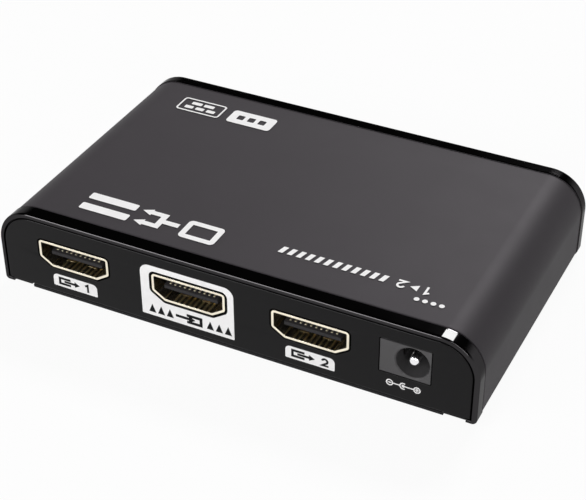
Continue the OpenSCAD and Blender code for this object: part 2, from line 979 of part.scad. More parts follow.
module surge_arrays() {
    color("#232325")
        for (i = [0 : 2], side = [-1, 1])
            on_board([port_x[i] + side * surge_spread, port_y + surge_row])
                standing(surge_size);
}

module chip_capacitors() {
    away = (chip_size.y + capacitor_size.y) / 2 + capacitor_gap;
    color("#b59468")
        on_board(chip_place)
            for (turn = [0 : 90 : 270], k = [-1.5 : 1.5])
                rotate([0, 0, turn])
                    translate([k * capacitor_pitch, away, 0])
                        standing(capacitor_size);
}

module chip_resistors() {
    color("#1c1c1e")
        for (i = [0 : 2], k = [-1.5 : 1.5])
            on_board([port_x[i] + k * resistor_pitch, port_y + resistor_row])
                standing(resistor_size);
}

module indicator_led() {
    color("#f2f0e2")
        translate([lens_x - led_l / 2, board_front + stem_gap, board_top])
            cube([led_l, led_w, led_h]);
}

top_cover();
base_plate();
front_bezel();
rear_bezel();
front_panel();
rear_panel();
indicator_lens();
case_screws();
rubber_feet();
circuit_board();
port_shell(0);  // output_1_shell
port_insulator(0);  // output_1_insulator
port_contacts(0);  // output_1_contacts
port_upper_springs(0);  // output_1_upper_springs
port_lower_springs(0);  // output_1_lower_springs
port_shell(1);  // input_shell
port_insulator(1);  // input_insulator
port_contacts(1);  // input_contacts
port_upper_springs(1);  // input_upper_springs
port_lower_springs(1);  // input_lower_springs
port_shell(2);  // output_2_shell
port_insulator(2);  // output_2_insulator
port_contacts(2);  // output_2_contacts
port_upper_springs(2);  // output_2_upper_springs
port_lower_springs(2);  // output_2_lower_springs
jack_housing();
jack_pin();
jack_spring();
jack_spring_terminal();
jack_switch_contact();
splitter_chip();
memory_chip();
crystal();
regulator();
inductor();
bulk_capacitors();
surge_arrays();
chip_capacitors();
chip_resistors();
indicator_led();
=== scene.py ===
"""Looks of a video splitter with one input and two outputs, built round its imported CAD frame."""
import math

import bmesh
import bpy
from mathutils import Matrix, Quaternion, Vector
from mathutils.geometry import tessellate_polygon


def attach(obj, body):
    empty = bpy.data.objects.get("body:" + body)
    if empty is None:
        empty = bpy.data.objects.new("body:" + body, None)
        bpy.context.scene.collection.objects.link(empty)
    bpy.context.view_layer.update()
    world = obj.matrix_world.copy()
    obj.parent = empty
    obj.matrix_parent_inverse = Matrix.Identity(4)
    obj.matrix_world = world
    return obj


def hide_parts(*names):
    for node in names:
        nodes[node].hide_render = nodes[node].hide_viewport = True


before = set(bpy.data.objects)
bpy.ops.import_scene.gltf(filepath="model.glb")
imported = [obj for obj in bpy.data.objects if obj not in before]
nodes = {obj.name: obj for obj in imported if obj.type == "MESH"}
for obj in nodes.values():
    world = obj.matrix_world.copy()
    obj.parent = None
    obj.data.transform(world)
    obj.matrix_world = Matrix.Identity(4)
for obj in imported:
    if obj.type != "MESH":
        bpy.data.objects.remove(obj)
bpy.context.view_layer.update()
MM = 0.001

# Sizes in millimetres, the same as in the part's source
SIDE_X, EDGE_Z, TOP_Z = 48.2, 0.8, 17.7
FRONT_Y, REAR_Y = -29.2, 29.2
CORNER_R, FOOT_R = 7.5, 0.9
COVER_WALL, SEAM_W, SEAM_DEPTH = 2.0, 0.25, 0.8
FRONT_BAND, REAR_BAND = 2.8, 2.4
LIP_W, HOOK_L = 0.9, 1.9
SPIGOT_INSET, INNER_INSET, SPIGOT_L, SPIGOT_FOOT = 2.15, 3.35, 3.0, 2.25
PANEL_RECESS, PANEL_T, PANEL_GAP, PANEL_Z, APRON_Z = 0.05, 1.5, 0.3, 1.4, 1.7
PANEL_FACE = FRONT_Y + PANEL_RECESS
PANEL_BACK = PANEL_RECESS + PANEL_T
PORT_W, PORT_H, PORT_SIDE, PORT_SLOPE, PORT_Z, SHELL_R = 15.0, 5.4, 3.7, 2.6, 7.36, 0.7
PORTS = {"output_1": -31.75, "input": -7.475, "output_2": 16.8}
CUTOUT_GAP, JACK_GAP = 0.35, 0.2
JACK_BOX = (30.1, 6.8, 39.5, 13.7)
LENS_X, LENS_L, LENS_W, LENS_SET = 41.9, 2.0, 2.0, 0.4
SCREWS = [(x, y) for x in (-42.9, 42.9) for y in (-19.4, 19.8)]
POST_D, POST_BORE, BOARD_TOP = 5.0, 2.6, 6.8

# Fine forms in millimetres: wider edges and tighter notches than in the source, and clearances
LIP_EDGE, PANEL_EDGE, COVER_EDGE, BAND_EDGE = 0.55, 0.22, 0.12, 0.08
INNER_EDGE, HOLE_EDGE, POST_EDGE, LEAST_R = 0.1, 0.1, 0.2, 0.1
NOTCH_X, NOTCH_Z, APRON_X = 46.2, 1.8, 42.06
SPIGOT_STEP = 0.15
JACK_R, JACK_R_GROWTH = 0.12, 0.25
LENS_GAP, LENS_FLOOR = 0.05, 16.2
PIPE_GAP, PIPE_LOW, PIPE_HIGH = 0.02, 7.4, 17.0
OVERCUT = 1.0

# Pin and contacts are rounded only in front of these places
PIN_FRONT_Y, CONTACT_FRONT_Y = -28, -27

# Films of ink in millimetres: the cover is sunk under its print, the rest stands on the panel
INK_T, BOX_GAP = 0.018, 0.004
COVER_SUNK = INK_T + BOX_GAP
FILM_GAP, SIGN_TOP, LABEL_TOP, MARK_TOP = 0.002, 0.02, 0.03, 0.042

# Shapes of the prints in millimetres, and the least cosine that a mitred bend divides by
LABEL_GAP, TAB_R, LEAST_INNER_R = 0.2, 0.2, 0.05
MITRE_LIMIT = 0.35

# Steps in a curve
ARC_STEPS, FOOT_STEPS, EDGE_STEPS, LIP_STEPS, INNER_STEPS = 28, 8, 4, 6, 3
POST_STEPS, CORNER_STEPS, PRINT_STEPS, DISC_STEPS = 32, 8, 6, 36
DIGIT_STEPS, BOW_STEPS = 10, 16

# Limits in degrees for shading breaks, for edges to round and for flat faces to merge
SHADE_ANGLE, SHARP_ANGLE, FLAT_ANGLE = 38, 35, 0.5

# Distance in millimetres under which points merge
MERGE_GAP = 0.0005

# Noise: the range that it mostly fills, its detail, and the size of smears against clouds
NOISE_LOW, NOISE_HIGH = 0.3, 0.7
CLOUD_DETAIL, SMEAR_DETAIL, GRAIN_DETAIL = 4.0, 5.0, 3.0
SMEAR_SHARE = 0.45


# Materials

def shader_nodes(name):
    mat = bpy.data.materials.new(name)
    mat.use_nodes = True
    tree = mat.node_tree
    return mat, tree.nodes, tree.links, tree.nodes["Principled BSDF"]


def noise(nodes_, links_, coords, size_mm, detail):
    tex = nodes_.new("ShaderNodeTexNoise")
    tex.inputs["Scale"].default_value = 1 / (size_mm * MM)
    tex.inputs["Detail"].default_value = detail
    links_.new(coords, tex.inputs["Vector"])
    return tex.outputs["Fac"]


def ranged(nodes_, links_, value, low, high):
    """Noise spread out to run from low to high."""
    node = nodes_.new("ShaderNodeMapRange")
    node.inputs["From Min"].default_value = NOISE_LOW
    node.inputs["From Max"].default_value = NOISE_HIGH
    node.inputs["To Min"].default_value = low
    node.inputs["To Max"].default_value = high
    links_.new(value, node.inputs["Value"])
    return node.outputs["Result"]


def finish_of(name, color, rough, vary=0.06, rough_vary=0.04, cloud=14.0, grain=0.0, depth=0.0,
              **sockets):
    """A procedural finish: cloudy colour and roughness, and a fine moulded or brushed grain.

    vary is the share by which the colour drifts over cloud millimetres; grain and depth are in
    millimetres, and sockets are further constant values of the shader, by name.
    """
    mat, nodes_, links_, shader = shader_nodes(name)
    coords = nodes_.new("ShaderNodeTexCoord").outputs["Object"]
    cloudy = noise(nodes_, links_, coords, cloud, CLOUD_DETAIL)
    mix = nodes_.new("ShaderNodeMix")
    mix.data_type = "RGBA"
    mix.inputs["A"].default_value = (*(c * (1 - vary) for c in color), 1)
    mix.inputs["B"].default_value = (*(c * (1 + vary) for c in color), 1)
    links_.new(ranged(nodes_, links_, cloudy, 0, 1), mix.inputs["Factor"])
    links_.new(mix.outputs["Result"], shader.inputs["Base Color"])
    smears = noise(nodes_, links_, coords, cloud * SMEAR_SHARE, SMEAR_DETAIL)
    smeared = ranged(nodes_, links_, smears, rough - rough_vary, rough + rough_vary)
    links_.new(smeared, shader.inputs["Roughness"])
    if grain:
        bump = nodes_.new("ShaderNodeBump")
        bump.inputs["Distance"].default_value = depth * MM
        bump.inputs["Strength"].default_value = 1.0
        links_.new(noise(nodes_, links_, coords, grain, GRAIN_DETAIL), bump.inputs["Height"])
        links_.new(bump.outputs["Normal"], shader.inputs["Normal"])
    for socket, value in sockets.items():
        shader.inputs[socket.replace("_", " ")].default_value = value
    return mat


COVER = finish_of("satin_black", (0.043, 0.039, 0.043), 0.56, vary=0.03, rough_vary=0.012,
                  grain=0.35, depth=0.001, Specular_IOR_Level=0.14, Specular_Tint=(1, 0.92, 1, 1))
# A dark mirror with a darkened edge reflection, so that less of the white floor shows in it
GLOSS = finish_of("gloss_black", (0.034, 0.0325, 0.034), 0.09, rough_vary=0.015, cloud=20,
                  Metallic=1.0, Specular_Tint=(0.52, 0.52, 0.52, 1))
PANEL = finish_of("panel_black", (0.0035, 0.0032, 0.0036), 0.22, vary=0.03, rough_vary=0.015,
                  grain=0.3, depth=0.0005, Specular_IOR_Level=0.14)
BASE = finish_of("base_black", (0.014, 0.0135, 0.0145), 0.55, grain=0.4, depth=0.004,
                 Specular_IOR_Level=0.1)
SHELL = finish_of("port_plating", (0.94, 0.87, 0.71), 0.16, vary=0.08, cloud=3.0,
                  grain=0.25, depth=0.001, Metallic=1.0)
SPRING = finish_of("spring_plating", (0.74, 0.58, 0.33), 0.28, vary=0.1, cloud=2.5, Metallic=1.0)
TONGUE = finish_of("tongue_plastic", (0.014, 0.013, 0.015), 0.45, cloud=3.0,
                   grain=0.3, depth=0.002, Specular_IOR_Level=0.25)
CONTACT = finish_of("contact_gold", (1.0, 0.90, 0.68), 0.34, cloud=2.0, Metallic=1.0)
JACK = finish_of("jack_plastic", (0.062, 0.060, 0.062), 0.5, cloud=5.0,
                 grain=0.3, depth=0.002, Specular_IOR_Level=0.3)
DULL = finish_of("terminal_plating", (0.26, 0.25, 0.245), 0.42, cloud=2.0, Metallic=1.0)
NICKEL = finish_of("pin_nickel", (0.86, 0.86, 0.87), 0.18, cloud=3.0, Metallic=1.0)
LENS = finish_of("lens_white", (0.94, 0.94, 0.93), 0.5, vary=0.02, cloud=2.0,
                 Specular_IOR_Level=0.1)
SCREW = finish_of("screw_steel", (0.30, 0.30, 0.32), 0.34, cloud=2.0, grain=0.2, depth=0.002,
                  Metallic=1.0)
RUBBER = finish_of("foot_rubber", (0.018, 0.018, 0.018), 0.78, vary=0.15, cloud=1.2,
                   grain=0.25, depth=0.01)
BOARD = finish_of("board_laminate", (0.012, 0.090, 0.038), 0.38, vary=0.18, cloud=4.0,
                  grain=0.5, depth=0.004)
CHIP = finish_of("chip_epoxy", (0.020, 0.020, 0.021), 0.55, cloud=2.0, grain=0.12, depth=0.004)
STEEL_CAN = finish_of("can_steel", (0.72, 0.72, 0.74), 0.22, cloud=3.0, Metallic=1.0)
ALUMINIUM = finish_of("can_aluminium", (0.80, 0.81, 0.83), 0.3, cloud=2.0,
                      grain=0.15, depth=0.002, Metallic=1.0)
FERRITE = finish_of("ferrite", (0.050, 0.050, 0.055), 0.6, vary=0.15, cloud=1.0,
                    grain=0.15, depth=0.006)
CERAMIC = finish_of("passive_ceramic", (0.42, 0.27, 0.13), 0.5, vary=0.12, cloud=0.8)
LAMP = finish_of("lamp_resin", (0.88, 0.84, 0.66), 0.3, vary=0.05, cloud=0.6)
WHITE_INK = finish_of("white_ink", (0.88, 0.87, 0.87), 0.5, vary=0.03, cloud=1.5,
                      grain=0.2, depth=0.002, Specular_IOR_Level=0.1)
BLACK_INK = finish_of("black_ink", (0.008, 0.008, 0.009), 0.5, vary=0.1, cloud=1.5,
                      Specular_IOR_Level=0.05)

NODE_FINISH = {
    "case_screws": SCREW, "rubber_feet": RUBBER, "indicator_lens": LENS, "circuit_board": BOARD,
    "jack_spring": DULL, "jack_spring_terminal": DULL, "jack_switch_contact": DULL,
    "splitter_chip": CHIP, "memory_chip": CHIP, "regulator": CHIP, "surge_arrays": CHIP,
    "chip_resistors": CHIP, "chip_capacitors": CERAMIC, "bulk_capacitors": ALUMINIUM,
    "crystal": STEEL_CAN, "inductor": FERRITE, "indicator_led": LAMP,
}
for port in PORTS:
    NODE_FINISH[port + "_upper_springs"] = SPRING
    NODE_FINISH[port + "_lower_springs"] = SPRING
for node, mat in NODE_FINISH.items():
    nodes[node].material_slots[0].material = mat


# Mesh helpers

def add_piece(name, bm, mat, weighted=True):
    """Turns a mesh drawn in millimetres into a shaded piece that rides on the case."""
    bmesh.ops.recalc_face_normals(bm, faces=bm.faces)
    bmesh.ops.scale(bm, vec=(MM, MM, MM), verts=bm.verts)
    mesh = bpy.data.meshes.new(name)
    bm.to_mesh(mesh)
    bm.free()
    mesh.polygons.foreach_set("use_smooth", [True] * len(mesh.polygons))
    mesh.set_sharp_from_angle(angle=math.radians(SHADE_ANGLE))
    mesh.materials.append(mat)
    obj = bpy.data.objects.new(name, mesh)
    bpy.context.scene.collection.objects.link(obj)
    if weighted:
        obj.modifiers.new("normals", "WEIGHTED_NORMAL").keep_sharp = True
    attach(obj, "case")
    return obj


def arc(x, z, r, start, end, steps):
    """Points of an arc round x, z between two angles in degrees."""
    turns = [math.radians(start + (end - start) * i / steps) for i in range(steps + 1)]
    return [(x + r * math.cos(t), z + r * math.sin(t)) for t in turns]


def mirrored(right):
    return right + [(-x, z) for x, z in reversed(right)]


def corners(u0, v0, u1, v1):
    return [(u0, v0), (u1, v0), (u1, v1), (u0, v1)]


def rounded(points, r, steps=CORNER_STEPS):
    """The outline with each corner rounded; r is one radius, or one for each corner."""
    out, n = [], len(points)
    radii = r if isinstance(r, (list, tuple)) else [r] * n
    for i, radius in enumerate(radii):
        p, a, b = (Vector(points[k % n]) for k in (i, i - 1, i + 1))
        u, v = (a - p).normalized(), (b - p).normalized()
        half = u.angle(v) / 2
        middle = p + (u + v).normalized() * (radius / math.sin(half))
        first = p + u * (radius / math.tan(half)) - middle
        last = p + v * (radius / math.tan(half)) - middle
        start = math.atan2(first.y, first.x)
        turn = (math.atan2(last.y, last.x) - start + math.pi * 3) % (2 * math.pi) - math.pi
        for k in range(steps + 1):
            t = start + turn * k / steps
            out.append((middle.x + radius * math.cos(t), middle.y + radius * math.sin(t)))
    return out


def ring_faces(bm, a, b, closed):
    """Joins two rows of points with faces."""
    n = len(a)
    for i in range(n if closed else n - 1):
        j = (i + 1) % n
        bm.faces.new((a[i], a[j], b[j], b[i]))


def filled(bm, loops):
    """Fills an outline with holes; loops are lists of the mesh's own points."""
    points = [v for loop in loops for v in loop]
    for tri in tessellate_polygon([[v.co for v in loop] for loop in loops]):
        bm.faces.new([points[i] for i in tri])


def swept(profile, path):
    """A body whose closed profile of (inset, y) follows the open path at each inset."""
    bm = bmesh.new()
    rows = [[bm.verts.new((x, y, z)) for x, z in path(inset)] for inset, y in profile]
    for a, b in zip(rows, rows[1:] + rows[:1]):
        ring_faces(bm, a, b, False)
    return bm, rows


def quarter(r, steps):
    """Offsets of a rounded edge, from flush with the first face to flush with the second."""
    turns = [math.pi / 2 * i / steps for i in range(steps + 1)]
    return [(r * (1 - math.cos(t)), r * (1 - math.sin(t))) for t in turns]


# Cover

def case_path(inset):
    """The cover's arch from foot to foot; the outer rows have rounded feet."""
    x, top, r = SIDE_X - inset, TOP_Z - inset, CORNER_R - inset
    if inset < SEAM_DEPTH:
        foot = arc(SIDE_X - FOOT_R, EDGE_Z + FOOT_R, FOOT_R - inset, -90, 0, FOOT_STEPS)
    else:
        foot = [(x, EDGE_Z + FOOT_R * k / FOOT_STEPS) for k in range(FOOT_STEPS + 1)]
    return mirrored(foot + arc(x - r, top - r, r, 0, 90, ARC_STEPS))


def mid_wall(x):
    """Height of the middle of the cover's wall above x."""
    r, flat = CORNER_R - COVER_WALL / 2, SIDE_X - CORNER_R
    return TOP_Z - CORNER_R + math.sqrt(r * r - max(abs(x) - flat, 0) ** 2)


def screw_post(bm, x, y):
    """A hollow post under the cover that ends inside its wall."""
    bore, outer = POST_BORE / 2, POST_D / 2
    turns = [2 * math.pi * k / POST_STEPS for k in range(POST_STEPS)]
    rows = []
    for r, z in ((bore, BOARD_TOP), (outer - POST_EDGE, BOARD_TOP),
                 (outer, BOARD_TOP + POST_EDGE), (outer, None), (bore, None)):
        ring = [(x + r * math.cos(t), y + r * math.sin(t)) for t in turns]
        rows.append([bm.verts.new((a, b, z or mid_wall(a))) for a, b in ring])
    for a, b in zip(rows, rows[1:] + rows[:1]):
        ring_faces(bm, a, b, True)


def make_cover():
    front, rear = FRONT_Y + FRONT_BAND, REAR_Y - REAR_BAND
    half = [(COVER_WALL, 0), (SEAM_DEPTH, 0), (SEAM_DEPTH, SEAM_W)]
    edge = reversed(quarter(COVER_EDGE, EDGE_STEPS))
    half += [(COVER_SUNK + a, SEAM_W + b) for b, a in edge]
    profile = [(d, front + t) for d, t in half] + [(d, rear - t) for d, t in reversed(half)]
    bm, rows = swept(profile, case_path)
    for end in (0, -1):
        bm.faces.new([row[end] for row in rows])
    for x, y in SCREWS:
        screw_post(bm, x, y)
    cover = add_piece("cover_shell", bm, COVER)
    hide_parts("top_cover")


# Bezels

def bezel_path(inset):
    """The bezel's arch: hooks at the feet of its lip, straight feet on its spigot."""
    x, top, r = SIDE_X - inset, TOP_Z - inset, CORNER_R - inset
    if inset <= LIP_W:
        low = max(FOOT_R - inset, LEAST_R)
        foot = [(SIDE_X - HOOK_L, EDGE_Z + inset)]
        foot += arc(x - low, EDGE_Z + inset + low, low, -90, 0, FOOT_STEPS)
    else:
        foot = [(x, SPIGOT_FOOT + SPIGOT_STEP * k) for k in range(FOOT_STEPS + 2)]
    return mirrored(foot + arc(x - r, top - r, r, 0, 90, ARC_STEPS))


def cut_out(obj, low, high):
    """Cuts a block out of a finished piece."""
    bm = bmesh.new()
    bmesh.ops.create_cube(bm, size=1)
    size, middle = Vector(high) - Vector(low), (Vector(high) + Vector(low)) / 2
    for v in bm.verts:
        v.co = (middle + Vector(c * s for c, s in zip(v.co, size))) * MM
    mesh = bpy.data.meshes.new("cutter")
    bm.to_mesh(mesh)
    bm.free()
    cutter = bpy.data.objects.new("cutter", mesh)
    bpy.context.scene.collection.objects.link(cutter)
    cut = obj.modifiers.new("cut", "BOOLEAN")
    cut.object, cut.operation, cut.solver = cutter, "DIFFERENCE", "EXACT"
    obj.modifiers.move(len(obj.modifiers) - 1, 0)
    bpy.context.view_layer.update()
    graph = bpy.context.evaluated_depsgraph_get()
    cut_mesh = bpy.data.meshes.new_from_object(obj.evaluated_get(graph))
    obj.modifiers.clear()
    obj.data = cut_mesh
    bpy.data.objects.remove(cutter)


def make_bezel(name, node, band, at_front):
    """A band with a rounded lip and a spigot; the front one is cut for lens and light pipe."""
    profile = [(SPIGOT_INSET, band), (BAND_EDGE, band), (0.0, band - BAND_EDGE)]
    profile += quarter(LIP_EDGE, LIP_STEPS)
    profile += [(LIP_W - a, b) for b, a in quarter(INNER_EDGE, INNER_STEPS)]
    profile += [(LIP_W, PANEL_BACK), (INNER_INSET, PANEL_BACK), (INNER_INSET, band + SPIGOT_L),
                (SPIGOT_INSET, band + SPIGOT_L)]
    turn = 1 if at_front else -1
    bm, rows = swept([(d, turn * (FRONT_Y + t)) for d, t in profile], bezel_path)
    lip = [i for i, (d, t) in enumerate(profile) if d <= LIP_W]
    spigot = [*range(lip[-1], len(profile)), 0, lip[0]]
    for end in (0, -1):
        bm.faces.new([rows[i][end] for i in lip])
        bm.faces.new([rows[i][end] for i in spigot])
    bezel = add_piece(name, bm, GLOSS)
    if at_front:
        x0, x1 = LENS_X - LENS_L / 2 - LENS_GAP, LENS_X + LENS_L / 2 + LENS_GAP
        y0, y1 = FRONT_Y + LENS_SET - LENS_GAP, FRONT_Y + LENS_SET + LENS_W + LENS_GAP
        cut_out(bezel, (x0, y0, LENS_FLOOR), (x1, y1, TOP_Z + OVERCUT))
        pipe_y = FRONT_Y + PANEL_BACK - PIPE_GAP
        cut_out(bezel, (x0, pipe_y, PIPE_LOW), (x1, FRONT_Y + FRONT_BAND, PIPE_HIGH))
    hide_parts(node)


# Panels

def panel_outline(inset):
    """The outline, notched for the base's apron and the bezel's hooks, drawn in by inset."""
    gap = LIP_W + PANEL_GAP + inset
    x, top, r = SIDE_X - gap, TOP_Z - gap, CORNER_R - gap
    apron_x, hook_x = APRON_X + inset, NOTCH_X - inset
    right = [(apron_x, APRON_Z + inset), (apron_x, PANEL_Z + inset), (hook_x, PANEL_Z + inset),
             (hook_x, NOTCH_Z + inset), (x, NOTCH_Z + inset)]
    return mirrored(right + arc(x - r, top - r, r, 0, 90, ARC_STEPS))


def port_outline(x, grow):
    """A port's outline with slanting lower corners, moved outwards by grow."""
    fall = PORT_H - PORT_SIDE
    nx, nz = Vector((fall, -PORT_SLOPE)).normalized()
    half = PORT_W / 2 + grow
    shoulder = fall + grow * (1 - nx) / nz
    low = PORT_W / 2 + (grow + nz * (grow + fall)) / nx
    points = mirrored([(low, -grow), (half, shoulder), (half, PORT_H + grow)])
    return rounded([(x + a, PORT_Z + b) for a, b in points], SHELL_R + grow)


def jack_outline(grow):
    x0, z0, x1, z1 = JACK_BOX
    box = corners(x0 - grow, z0 - grow, x1 + grow, z1 + grow)
    return rounded(box, JACK_R + JACK_R_GROWTH * grow, EDGE_STEPS)


def make_panel(name, node, at_front, holes):
    """A plate with a rounded rim; holes are functions that give an outline by its growth."""
    turn = 1 if at_front else -1
    bm = bmesh.new()

    def ring(points, depth):
        return [bm.verts.new((x, turn * (PANEL_FACE + depth), z)) for x, z in points]

    def walled(outline, edge):
        """Rings of points from the rounded front edge to the back, joined by faces."""
        rings = [ring(outline(a), b) for b, a in quarter(edge, EDGE_STEPS)]
        rings.append(ring(outline(0), PANEL_T))
        for a, b in zip(rings, rings[1:]):
            ring_faces(bm, a, b, True)
        return rings

    loops = [walled(panel_outline, PANEL_EDGE)] + [walled(hole, HOLE_EDGE) for hole in holes]
    for end in (0, -1):
        filled(bm, [rings[end] for rings in loops])
    panel = add_piece(name, bm, PANEL)
    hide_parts(node)


# Pieces made from a node's own shape, with softened edges

def soften(name, node, mat, width, segments=2, keep=None):
    """A copy of a node with its sharp edges rounded; keep picks edges by their two points."""
    bm = bmesh.new()
    bm.from_mesh(nodes[node].data)
    bmesh.ops.scale(bm, vec=(1 / MM,) * 3, verts=bm.verts)
    bmesh.ops.remove_doubles(bm, verts=bm.verts, dist=MERGE_GAP)
    bmesh.ops.dissolve_limit(bm, angle_limit=math.radians(FLAT_ANGLE), verts=bm.verts,
                             edges=bm.edges)
    sharp = math.radians(SHARP_ANGLE)
    edges = [e for e in bm.edges if len(e.link_faces) == 2 and e.calc_face_angle(0) > sharp]
    if keep:
        edges = [e for e in edges if keep(e.verts[0].co, e.verts[1].co)]
    bmesh.ops.bevel(bm, geom=edges, offset=width, offset_type="OFFSET", segments=segments,
                    profile=0.5, affect="EDGES", clamp_overlap=True)
    piece = add_piece(name, bm, mat)
    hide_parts(node)


def ahead_of(y):
    """Picks the edges that lie wholly in front of y."""
    return lambda a, b: max(a.y, b.y) < y


# Prints

class Print:
    """Flat shapes in millimetres on one plane, gathered into a thin film of ink."""

    def __init__(self, place):
        self.place = place
        self.shapes = []

    def area(self, outline, *holes):
        self.shapes.append([outline, *holes])

    def block(self, u0, v0, u1, v1, r=0.0):
        points = corners(u0, v0, u1, v1)
        self.area(rounded(points, r, PRINT_STEPS) if r else points)

    def slanted(self, u, v, w, h, lean):
        self.area([(u, v), (u + w, v), (u + w + lean, v + h), (u + lean, v + h)])

    def outline(self, u0, v0, u1, v1, r, w):
        outer = corners(u0, v0, u1, v1)
        inner = corners(u0 + w, v0 + w, u1 - w, v1 - w)
        self.area(rounded(outer, r, PRINT_STEPS),
                  rounded(inner, max(r - w, LEAST_INNER_R), PRINT_STEPS))

    def disc(self, u, v, r, hole=0.0):
        turns = [2 * math.pi * k / DISC_STEPS for k in range(DISC_STEPS)]
        circle = [(math.cos(t), math.sin(t)) for t in turns]
        loops = [[(u + q * a, v + q * b) for a, b in circle] for q in (r, hole) if q]
        self.area(*loops)

    def stroke(self, points, w):
        """A line of width w with mitred bends."""
        pts = [Vector(p) for p in points]
        sides = [[], []]
        for i, p in enumerate(pts):
            before = (p - pts[i - 1]).normalized() if i else None
            after = (pts[i + 1] - p).normalized() if i + 1 < len(pts) else None
            along = ((before or after) + (after or before)).normalized()
            normal = Vector((-along.y, along.x))
            leaving = after or before
            slant = normal.dot(Vector((-leaving.y, leaving.x)))
            reach = w / 2 / max(slant, MITRE_LIMIT)
            for side, sign in zip(sides, (1, -1)):
                q = p + normal * reach * sign
                side.append((q.x, q.y))
        self.area(sides[0] + sides[1][::-1])

    def film(self, name, mat, low, high):
        """The shapes as one piece, from low to high above the plane."""
        bm = bmesh.new()
        for loops in self.shapes:
            levels = []
            for level in (low, high):
                levels.append([[bm.verts.new(self.place(u, v, level)) for u, v in loop]
                               for loop in loops])
                filled(bm, levels[-1])
            for a, b in zip(*levels):
                ring_faces(bm, a, b, True)
        add_piece(name, bm, mat, weighted=False)


def on_top(u, v, h):
    """The top's prints are read from the rear: u runs to -X and v to -Y."""
    return (-u, -v, TOP_Z - COVER_SUNK + h)


def on_panel(u, v, h):
    return (u, PANEL_FACE - h, v)


def digit(sheet, which, u, v, h, w):
    """A plain 1 or 2 of height h with its lower left corner at u, v."""
    if which == 1:
        flag, stem = v + 0.70 * h, u + 0.30 * h
        sheet.stroke([(u, flag), (stem, v + h - w / 2), (stem, v)], w)
        return
    r = 0.27 * h
    bow = arc(u + r + w / 2, v + h - r - w / 2, r, 170, -35, DIGIT_STEPS)
    sheet.stroke(bow + [(u + w / 2, v + w / 2), (u + 2 * r + w, v + w / 2)], w)


def port_symbol(sheet, u, v, s, inwards):
    """An arrow into or out of an open box, s high, the plain sign for an input or an output."""
    w = 0.29 * s
    low, high = v + w / 2, v + s - w / 2
    back, mouth = (u + 2.5 * s, u + 1.1 * s) if inwards else (u + w / 2, u + 1.5 * s)
    sheet.stroke([(mouth, low), (back, low), (back, high), (mouth, high)], w)
    tail = u if inwards else u + 0.7 * s
    neck, tip = tail + 1.3 * s, tail + 1.95 * s
    sheet.block(tail, v + 0.36 * s, tail + 1.35 * s, v + 0.64 * s)
    sheet.area([(neck, v + 0.13 * s), (tip, v + 0.5 * s), (neck, v + 0.87 * s)])


def splitter_sign(sheet, u, v):
    """One screen feeding two: an outlined screen, a forked arrow and two bars, drawn from u, v."""
    screen_w, screen_h = 7.4, 5.5
    stem, fork, inside, heads, tips = 8.4, 11.6, 12.8, 15.0, 17.0
    stem_low, stem_high = 2.15, 3.35
    low_foot, low_top, high_foot, high_top = 0.4, 1.55, 3.95, 5.1
    bars, end, half = 18.2, 28.4, 0.98
    sheet.outline(u, v, u + screen_w, v + screen_h, r=0.9, w=1.15)
    sheet.block(u + stem, v + stem_low, u + fork, v + stem_high)
    sheet.area([(u + fork, v + low_foot), (u + heads, v + low_foot),
                (u + heads, v + low_top), (u + inside, v + low_top),
                (u + inside, v + high_foot), (u + heads, v + high_foot),
                (u + heads, v + high_top), (u + fork, v + high_top)])
    for row in (0.98, 4.52):
        low, high = v + row - half, v + row + half
        sheet.area([(u + heads, low), (u + tips, v + row), (u + heads, high)])
        sheet.block(u + bars, low, u + end, high, r=0.35)


def power_sign(sheet):
    """Polarity of the power jack: minus to the open ring, plus to the dot inside it."""
    minus_x, middle_x, plus_x, z = 32.1, 34.65, 37.2, 4.71
    ring_r, bow_r, dot_r, w = 0.68, 0.62, 0.3, 0.22
    reach, gap = 0.36, 0.1
    low, high = z - w / 2, z + w / 2
    for x in (minus_x, plus_x):
        sheet.disc(x, z, ring_r, hole=ring_r - w)
        sheet.block(x - reach, low, x + reach, high)
    for start, end in ((-reach, -gap), (gap, reach)):
        sheet.block(plus_x - w / 2, z + start, plus_x + w / 2, z + end)
    sheet.disc(middle_x, z, dot_r)
    sheet.stroke(arc(middle_x, z, bow_r, 60, 300, BOW_STEPS), w)
    sheet.block(minus_x + ring_r, low, middle_x - bow_r - w / 2, high)
    sheet.block(middle_x + dot_r, low, plus_x - ring_r, high)


